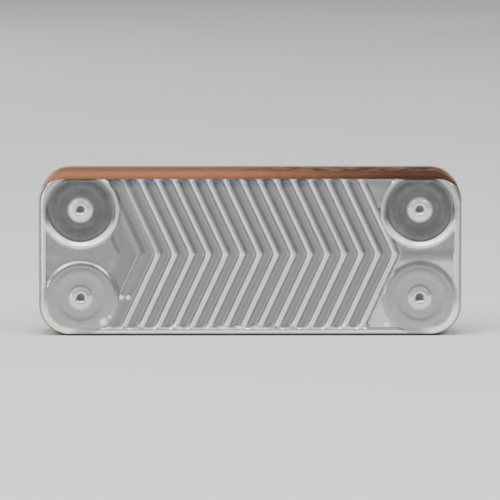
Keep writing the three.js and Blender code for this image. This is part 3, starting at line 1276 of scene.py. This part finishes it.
@dataclass
class BrazeSeams:
    """The copper between the skirts, and round the mounting plate, the collars and the bushes."""

    stack: PlateStack
    finish: Finish = BrazeCopper("braze_copper")
    leg: float = 1.1
    steps: int = 16
    along: float = 0.8
    fillet_sides: int = 96
    fillet_seed: float = 50.0
    edge_seed: float = 77.0

    def seam(self, index: int) -> Surface:
        """One uneven hoop of copper in the step between a skirt's edge and the next skirt.

        Args:
            index: the plate whose skirt it lies on.

        Returns:
            The closed hoop.
        """
        pressing = self.stack.pressing
        slope, outline = pressing.skirt_slope, pressing.outline
        level = self.stack.face_y(index)
        edge = pressing.skirt_depth - self.stack.pitch
        whole = outline.ring(0.0, self.steps, self.along)
        sections: list[list[tuple[float, float]]] = []
        for x, z in whole:
            swell = 0.5 + 0.5 * ripple(x, z, 5.0, index) + 0.35 * ripple(x, z, 1.6, index + 40.0)
            run = self.leg * (0.75 + 0.75 * max(0.0, swell))
            lip = 0.26 - 0.2 * min(1.0, max(0.0, swell))
            foot = (pressing.skirt_depth - edge - run) * slope
            top = (pressing.skirt_depth - edge) * slope
            sections.append([
                (lip + 0.06, edge - 0.05),
                (lip, edge + 0.03),
                (lip + (foot - lip) * 0.25 + 0.03, edge + run * 0.3),
                (lip + (foot - lip) * 0.6 + 0.02, edge + run * 0.66),
                (foot - 0.015, edge + run),
                (foot + 0.06, edge + run + 0.01),
                (top + 0.03, edge - 0.05),
            ])
        made = Surface()
        loops = []
        for number in range(len(sections[0])):
            rings = {}
            points = []
            for place, section in enumerate(sections):
                inset, y = section[number]
                key = round(inset, 3)
                if key not in rings:
                    rings[key] = outline.ring(key, self.steps, self.along)
                x, z = rings[key][place]
                points.append((x, level + y, z))
            loops.append(made.loop(points))
        for here, after in zip(loops, loops[1:] + loops[:1]):
            made.band(here, after)
        return made

    def fillet(self, centre: Plan, radius: float, seed: float) -> Surface:
        """A fillet of copper round something that stands up from the mounting plate.

        Args:
            centre: x and z of the axis.
            radius: radius of what stands up.
            seed: picks its unevenness.

        Returns:
            The closed ring.
        """

        def waver(x: float, z: float, number: int) -> tuple[float, float]:
            """Makes the fillet's reach and height uneven."""
            swell = ripple(x * radius, z * radius, 3.0, seed) * 0.35
            return (swell if number in (1, 2, 3) else 0.0, swell * 0.4 if number in (3, 4) else 0.0)

        section = [
            (radius - 0.05, -0.3),
            (radius + 1.25, -0.3),
            (radius + 1.3, 0.01),
            (radius + 0.65, 0.13),
            (radius + 0.2, 0.42),
            (radius - 0.02, 0.75),
        ]
        return lathe(section, centre, self.fillet_sides, waver)

    def mounting_copper(self) -> Surface:
        """The copper on the mounting plate, with its fillets, as one surface."""
        pressing = self.stack.pressing
        inset = (pressing.skirt_depth - self.stack.pitch) * pressing.skirt_slope + pressing.sheet + 0.1
        made = Surface()
        loops = []
        section = ((-0.75, -0.42), (-0.62, -0.3), (-0.3, -0.12), (0.02, -0.08), (0.02, -0.42))
        for number, (shift, y) in enumerate(section):
            ring = []
            for x, z in pressing.outline.ring(inset + shift, self.steps, self.along):
                lift = 0.1 * ripple(x, z, 4.0, self.edge_seed) if number in (1, 2) else 0.0
                ring.append((x, y + lift, z))
            loops.append(made.loop(ring))
        for here, after in zip(loops, loops[1:] + loops[:1]):
            made.band(here, after)
        rings = [(centre, 13.0) for centre in Ports.places().values()]
        rings += [((side * Ports.reach_x, 0.0), 4.5) for side in (-1, 1)]
        for seed, (centre, radius) in enumerate(rings):
            ring = self.fillet(centre, radius, self.fillet_seed + seed)
            first = len(made.points)
            made.points.extend(ring.points)
            made.faces.extend([tuple(corner + first for corner in face) for face in ring.faces])
        return made

    def build(self) -> list[bpy.types.Object]:
        """Makes the nine seams and the mounting plate's copper."""
        numbers = range(1, self.stack.plates)
        pieces = [self.seam(index).piece(f"copper_seam_{index}", 60.0) for index in numbers]
        pieces.append(self.mounting_copper().piece("mounting_copper", 60.0))
        return pieces

    def dress(self, pieces: Sequence[bpy.types.Object]) -> None:
        """Gives the copper its finish."""
        copper = self.finish.make()
        names = [f"braze_seam_{index}" for index in range(1, self.stack.plates)] + ["mounting_braze_seam"]
        for piece, node in zip(pieces, names):
            hand_over(piece, copper, Slot.COPPER, node)


@dataclass
class MountingPlate:
    """The flat plate that carries the collars and the bushes."""

    stack: PlateStack
    finish: Finish = RolledSteel("rolled_steel")
    edge_round: float = 0.3
    hole_ease: float = 0.15
    corner_steps: int = 20
    edge_pitch: float = 3.0
    collar_hole: float = 13.05
    collar_sides: int = 96
    bush_hole: float = 4.55
    bush_sides: int = 48
    inner_rings: tuple[float, ...] = (3.0, 8.0, 15.0, 25.0)

    def build(self) -> bpy.types.Object:
        """Makes the plate with its holes and its eased edges."""
        pressing = self.stack.pressing
        thick = self.stack.mounting
        inset = (pressing.skirt_depth - self.stack.pitch) * pressing.skirt_slope + pressing.sheet + 0.12
        steps, pitch, mouth_ease = self.corner_steps, self.edge_pitch, self.hole_ease
        holes = [(centre, self.collar_hole, self.collar_sides) for centre in Ports.places().values()]
        holes += [((side * Ports.reach_x, 0.0), self.bush_hole, self.bush_sides) for side in (-1, 1)]
        scatter = Scatter(apart=1.0)
        rim = scatter.hoop(pressing.outline.ring(inset + self.edge_round, steps, pitch))
        mouths = [scatter.hoop(circle(centre, radius + mouth_ease, sides)) for centre, radius, sides in holes]
        for inner in self.inner_rings:
            for x, z in pressing.outline.ring(inset + inner, 12, 6.0):
                if all(math.dist((x, z), centre) > radius + 1.5 for centre, radius, _ in holes):
                    scatter.add(x, z)

        def kept(x: float, z: float) -> bool:
            """Whether a triangle lies clear of every hole."""
            return all(math.dist((x, z), centre) > radius + mouth_ease for centre, radius, _ in holes)

        triangles = scatter.triangles(kept)
        made = Surface()
        count = len(scatter.points)
        made.loop((x, 0.0, z) for x, z in scatter.points)
        made.loop((x, -thick, z) for x, z in scatter.points)
        made.faces.extend(tuple(reversed(face)) for face in triangles)
        made.faces.extend(tuple(corner + count for corner in face) for face in triangles)
        ease = self.edge_round
        edge = rim
        part = 0.3 * ease
        for shift, y in ((part, -part), (0.0, -ease), (0.0, ease - thick), (part, part - thick)):
            ring = made.loop((x, y, z) for x, z in pressing.outline.ring(inset + shift, steps, pitch))
            made.band(edge, ring)
            edge = ring
        made.band(edge, [corner + count for corner in rim])
        for mouth, (centre, radius, sides) in zip(mouths, holes):
            edge = mouth
            for y in (-mouth_ease, mouth_ease - thick):
                ring = made.loop((x, y, z) for x, z in circle(centre, radius, sides))
                made.band(edge, ring)
                edge = ring
            made.band(edge, [corner + count for corner in mouth])
        return made.piece("mounting_sheet", 25.0)

    def dress(self, piece: bpy.types.Object) -> None:
        """Gives the plate its finish."""
        hand_over(piece, self.finish.make(), Slot.MOUNTING, "mounting_plate")


@dataclass
class PortFittings:
    """Collars, gaskets and spacer rings at the ports, and the threaded bushes between them."""

    steel: Finish = TurnedSteel("turned_steel")
    rubber: Finish = MouldedRubber("moulded_rubber")
    sides: int = 112
    collar: tuple[tuple[float, float], ...] = (
        (9.0, -2.0), (13.0, -2.0), (13.0, 1.6), (12.2, 1.6), (12.2, -0.5), (9.0, -0.5),
    )
    spacer: tuple[tuple[float, float], ...] = ((9.0, -3.88), (12.6, -3.88), (12.6, -2.12), (9.0, -2.12))
    gasket: tuple[tuple[float, float], ...] = ((9.7, -0.45), (12.0, -0.45), (12.0, 2.9), (9.7, 2.9))
    bush_radius: float = 4.5
    bush_core: float = 2.1
    bush_foot: float = -2.0
    bush_end: float = 5.0
    bush_sides: int = 48
    mouth_depth: float = 0.3
    mouth_radius: float = 2.75
    thread_depth: float = 0.36
    thread_pitch: float = 0.8
    rows_a_turn: int = 8

    def bush(self, x: float) -> Surface:
        """A bush with a real thread down its bore.

        Args:
            x: place of its axis.

        Returns:
            The closed bush.
        """
        low, high, wide, sides = self.bush_foot, self.bush_end, self.bush_radius, self.bush_sides
        outer = [(wide - 0.3, low), (wide, low + 0.3), (wide, high - 0.5)]
        outer += [(wide - 0.15, high - 0.18), (wide - 0.5, high), (self.mouth_radius, high)]
        made = Surface()
        loops = []
        for radius, y in outer:
            loops.append(made.loop((px, y, pz) for px, pz in circle((x, 0.0), radius, sides)))
        threaded = high - self.mouth_depth - low
        rows = round(threaded / self.thread_pitch * self.rows_a_turn)
        for row in range(rows + 1):
            y = high - self.mouth_depth - threaded * row / rows
            ring = []
            for step in range(sides):
                turn = step / sides
                phase = (y / self.thread_pitch - turn) % 1.0
                radius = self.bush_core + self.thread_depth * (1.0 - abs(2.0 * phase - 1.0))
                angle = turn * 2.0 * math.pi
                ring.append((x + radius * math.cos(angle), y, radius * math.sin(angle)))
            loops.append(made.loop(ring))
        for here, after in zip(loops, loops[1:] + loops[:1]):
            made.band(here, after)
        return made

    def build(self) -> dict[str, bpy.types.Object]:
        """Makes every fitting, by the node that it stands for."""
        pieces = {}
        for place, centre in Ports.places().items():
            collar = lathe(rounded(self.collar, 0.18), centre, self.sides)
            pieces[f"port_collar_{place}"] = collar.piece(f"turned_collar_{place}", 50.0)
            section = rounded(self.gasket, 0.75, 6)
            gasket = lathe(section, centre, self.sides)
            pieces[f"port_gasket_{place}"] = gasket.piece(f"rubber_seal_{place}", 60.0)
        for side, x in (("left", -Ports.reach_x), ("right", Ports.reach_x)):
            ring = lathe(rounded(self.spacer, 0.12), (x, Ports.reach_z), self.sides)
            pieces[f"port_spacer_ring_{side}"] = ring.piece(f"turned_spacer_{side}", 50.0)
            pieces[f"threaded_bush_{side}"] = self.bush(x).piece(f"threaded_insert_{side}", 35.0)
        return pieces

    def dress(self, pieces: Mapping[str, bpy.types.Object]) -> None:
        """Gives each fitting its finish."""
        steel = self.steel.make()
        rubber = self.rubber.make()
        for node, piece in pieces.items():
            soft = "gasket" in node
            hand_over(piece, rubber if soft else steel, Slot.RUBBER if soft else Slot.MACHINED, node)


@dataclass
class Studio:
    """Pale floor, soft lights and the camera, in metres.

    The lens and the sensor are millimetres. Each lamp has a name, a place from the exchanger's middle,
    a size and a power in watts.
    """

    floor_tone: Colour = (0.80, 0.80, 0.79)
    floor_half: float = 3.0
    distance: float = 2.8
    rise: float = 0.333
    aside: float = -0.015
    lens: float = 445.0
    sensor: float = 36.0
    view_end: float = 20.0
    air: Colour = (0.62, 0.63, 0.65)
    air_strength: float = 0.5
    lamps: tuple[tuple[str, Point, float, float], ...] = (
        ("overhead", (-0.1, -0.3, 1.6), 0.9, 22.0),
        ("high_left", (-0.9, -0.9, 1.15), 0.6, 13.0),
        ("high_right", (0.9, -0.9, 1.15), 0.6, 11.0),
        ("low_left", (-1.4, -1.0, 0.15), 0.4, 4.0),
        ("rear_left", (-0.9, 1.5, 0.35), 0.8, 9.0),
        ("rear_right", (1.2, 1.2, 0.9), 0.6, 7.0),
    )

    def build(self) -> None:
        """Sets the floor, the lights and the camera round the exchanger."""
        low, high = (Vector(corner) for corner in CAD_BOX)
        middle = (low + high) / 2
        self._floor(low.z)
        for name, offset, size, power in self.lamps:
            self._light(name, middle + Vector(offset), middle, size, power)
        world = bpy.data.worlds.new("studio_air")
        world.use_nodes = True
        background = world.node_tree.nodes["Background"]
        background.inputs[0].default_value = (*self.air, 1.0)
        background.inputs[1].default_value = self.air_strength
        bpy.context.scene.world = world
        self._camera(middle)

    def _floor(self, level: float) -> None:
        """Lays the floor at the exchanger's lowest point.

        Args:
            level: height of that point.
        """
        half = self.floor_half
        mesh = bpy.data.meshes.new("floor")
        corners = [(-half, -half, level), (half, -half, level), (half, half, level), (-half, half, level)]
        mesh.from_pydata(corners, [], [(0, 1, 2, 3)])
        floor = bpy.data.objects.new("floor", mesh)
        bpy.context.scene.collection.objects.link(floor)
        bench = Bench(bpy.data.materials.new("pale_floor"))
        haze = bench.cloud(160.0, 3.0)
        shade = tuple(tone * 0.94 for tone in self.floor_tone)
        bench.surface(Base_Color=bench.mix(haze, self.floor_tone, shade), Roughness=0.7)
        mesh.materials.append(bench.material)

    @staticmethod
    def _light(name: str, place: Vector, aim: Vector, size: float, power: float) -> None:
        """Hangs one square soft light.

        Args:
            name: the lamp's name.
            place: where it hangs.
            aim: what it faces.
            size: length of its side.
            power: its power in watts.
        """
        lamp = bpy.data.lights.new(name, "AREA")
        lamp.shape = "SQUARE"
        lamp.size = size
        lamp.energy = power
        hung = bpy.data.objects.new(name, lamp)
        hung.location = place
        hung.rotation_euler = (aim - place).to_track_quat("-Z", "Y").to_euler()
        bpy.context.scene.collection.objects.link(hung)

    def _camera(self, middle: Vector) -> None:
        """Places the camera and makes it the scene's."""
        eye = middle + Vector((self.aside, -self.distance, self.rise))
        camera = bpy.data.cameras.new("camera")
        camera.lens = self.lens
        camera.sensor_width = self.sensor
        camera.clip_end = self.view_end
        held = bpy.data.objects.new("camera", camera)
        held.location = eye
        held.rotation_euler = (middle - eye).to_track_quat("-Z", "Y").to_euler()
        bpy.context.scene.collection.objects.link(held)
        bpy.context.scene.camera = held


def main() -> None:
    """Builds the exchanger piece by piece, and the studio round it."""
    logging.basicConfig(level=logging.INFO, format="%(message)s")
    Studio().build()
    stack = PlateStack()
    stack.dress(stack.build())
    seams = BrazeSeams(stack)
    seams.dress(seams.build())
    mounting = MountingPlate(stack)
    mounting.dress(mounting.build())
    fittings = PortFittings()
    fittings.dress(fittings.build())


if __name__ == "__main__":
    main()
